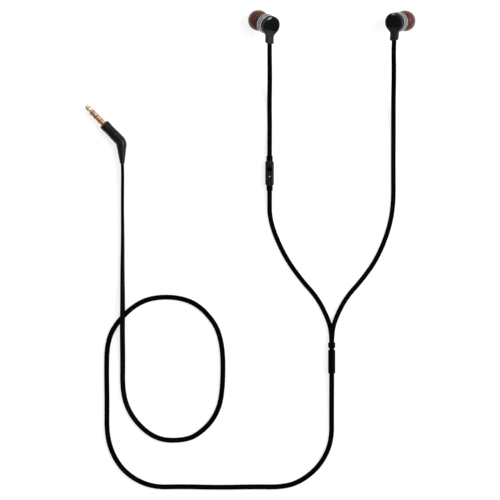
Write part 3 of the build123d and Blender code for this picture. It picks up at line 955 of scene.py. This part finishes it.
def jack_place():
    """Millimetres along the jack from its end, +Z towards the housing, placed from the mount."""
    mount = next(m for m in frame["record"]["mounts"] if m["name"] == "headset_plug")
    inward = -Vector(mount["axis"]).normalized()
    tip = Vector(mount["pos_m"]) - inward * JACK_MOUNT * MM
    turn = inward.to_track_quat("Z", "Y").to_matrix().to_4x4()
    return Matrix.Translation(tip) @ turn @ Matrix.Scale(MM, 4), tip / MM, inward


def turned_piece(name, profile, place, material, node):
    """A piece of the plug that is turned about the jack's line."""
    verts, faces = lathe(profile, 96)
    piece = add_mesh(name, verts, faces, place, material)
    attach(piece, "earphones")
    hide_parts(node)


def contact_profile(start, end):
    return rounded([(CORE_R, start, 0), (JACK_R, start, 0.08), (JACK_R, end, 0.08), (CORE_R, end, 0)], 0)


def make_contacts(place):
    """The jack's nose and the three contacts behind it."""
    first, second, third = BANDS_AT
    nose = rounded([(0, 0, 0), (0.7, 0, 0.2), (1.15, 0.35, 0.25), (1.6, 1.7, 0.5), (1.55, 2.4, 0.3),
                    (1.22, 3.25, 0.25), (1.22, 3.75, 0.2), (JACK_R, 4.35, 0.15), (JACK_R, first, 0.06),
                    (0, first, 0)], 0)
    turned_piece("jack_tip", nose, place, "contact_gold", "plug_tip")
    for name, start, end, node in (("jack_ring_front", first + BAND, second, "plug_ring_1"),
                                   ("jack_ring_back", second + BAND, third, "plug_ring_2"),
                                   ("jack_sleeve", third + BAND, JACK_L, "plug_sleeve")):
        turned_piece(name, contact_profile(start, end), place, "contact_gold", node)


def make_bands(place):
    """The three insulating bands between the contacts, as one piece."""
    verts = []
    faces = []
    band_r = JACK_R - 0.03
    for start in BANDS_AT:
        end = start + BAND
        band_verts, band_faces = lathe([(CORE_R, start), (band_r, start), (band_r, end), (CORE_R, end)], 96)
        faces += [[len(verts) + i for i in face] for face in band_faces]
        verts += band_verts
    bands = add_mesh("jack_bands", verts, faces, place, "red_plastic")
    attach(bands, "earphones")
    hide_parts("plug_insulators")


def make_plug():
    place, tip, inward = jack_place()
    make_contacts(place)
    make_bands(place)
    collar = rounded([(CORE_R, JACK_L, 0), (2.3, JACK_L, 0.1), (2.75, 14.15, 0.1), (2.78, 14.4, 0),
                      (CORE_R, 14.4, 0)], 0)
    turned_piece("jack_collar", collar, place, "red_plastic", "plug_collar")
    make_plug_housing(tip, inward)


def make_plug_housing(tip, inward):
    """Angled housing that runs out into the cord's tapered strain relief."""
    straight_steps = 110
    bend_steps = 24
    taper_steps = 60
    corner = tip + inward * PLUG_CORNER
    end = Vector((*PLUG_END, PLUG_Z))
    out = (end - corner).normalized()
    total = inward.angle(out)
    cut = PLUG_BEND_R * tan(total / 2)
    bend_from = corner - inward * cut
    bend_to = corner + out * cut
    start = tip + inward * HOUSING_START
    line = [start + (bend_from - start) * k / straight_steps for k in range(straight_steps)]
    centre = bend_from + Vector((inward.y, -inward.x, 0)) * PLUG_BEND_R
    arm = bend_from - centre
    line += [centre + Matrix.Rotation(-total * k / bend_steps, 3, "Z") @ arm for k in range(bend_steps)]
    line += [bend_to + (end - bend_to) * k / taper_steps for k in range(taper_steps + 1)]
    spans = [(b - a).length for a, b in zip(line, line[1:])]
    taper_from = (bend_from - start).length + PLUG_BEND_R * total
    up = Vector((0, 0, 1))
    loops = []
    for i, point in enumerate(line):
        along = (line[min(i + 1, len(line) - 1)] - line[max(i - 1, 0)]).normalized()
        radius = housing_radius(sum(spans[:i]), sum(spans), taper_from)
        side = up.cross(along).normalized()
        turns = [2 * pi * k / 72 for k in range(72)]
        loops.append([point + (side * cos(a) + up * sin(a)) * radius for a in turns])
    verts, faces = loft(loops)
    piece = add_mesh("plug_shell", verts, faces, Matrix.Scale(MM, 4), "plug_rubber", sharp=50)
    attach(piece, "earphones")
    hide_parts("plug_housing")


def housing_radius(s, total, taper_from):
    """The housing's radius along its line: soft front edge, fine grip ribs, then a long taper."""
    edge = 0.3
    radius = PLUG_R - edge * (1 - min(1.0, s / edge)) ** 2
    if RIBS_FROM < s < RIBS_TO:
        radius -= RIB_DEPTH * (0.5 - 0.5 * cos(2 * pi * (s - RIBS_FROM) / RIB_PITCH)) ** 2
    t = max(0.0, (s - taper_from) / (total - taper_from))
    radius += (PLUG_END_R - PLUG_R) * t
    left = total - s
    if abs(left - SEAM_BACK) < 0.2:
        radius -= SEAM_DEPTH
    if left < 0.35:
        radius -= 0.25 * (1 - left / 0.35) ** 2
    return radius


# ---------- carried-over pieces ----------

def dress_cad_nodes():
    """Every CAD node that stays visible gets its slot's material."""
    slots = {entry["node"]: entry["material_slot"] for entry in frame["record"]["subparts"]}
    for name, node in frame["nodes"].items():
        node.data.materials.clear()
        node.data.materials.append(MATERIALS[slots[name]])


MATERIALS = make_materials()
make_camera()
make_studio()
make_earbuds()
make_remote()
make_splitter()
make_slider()
make_plug()
make_cords()
dress_cad_nodes()
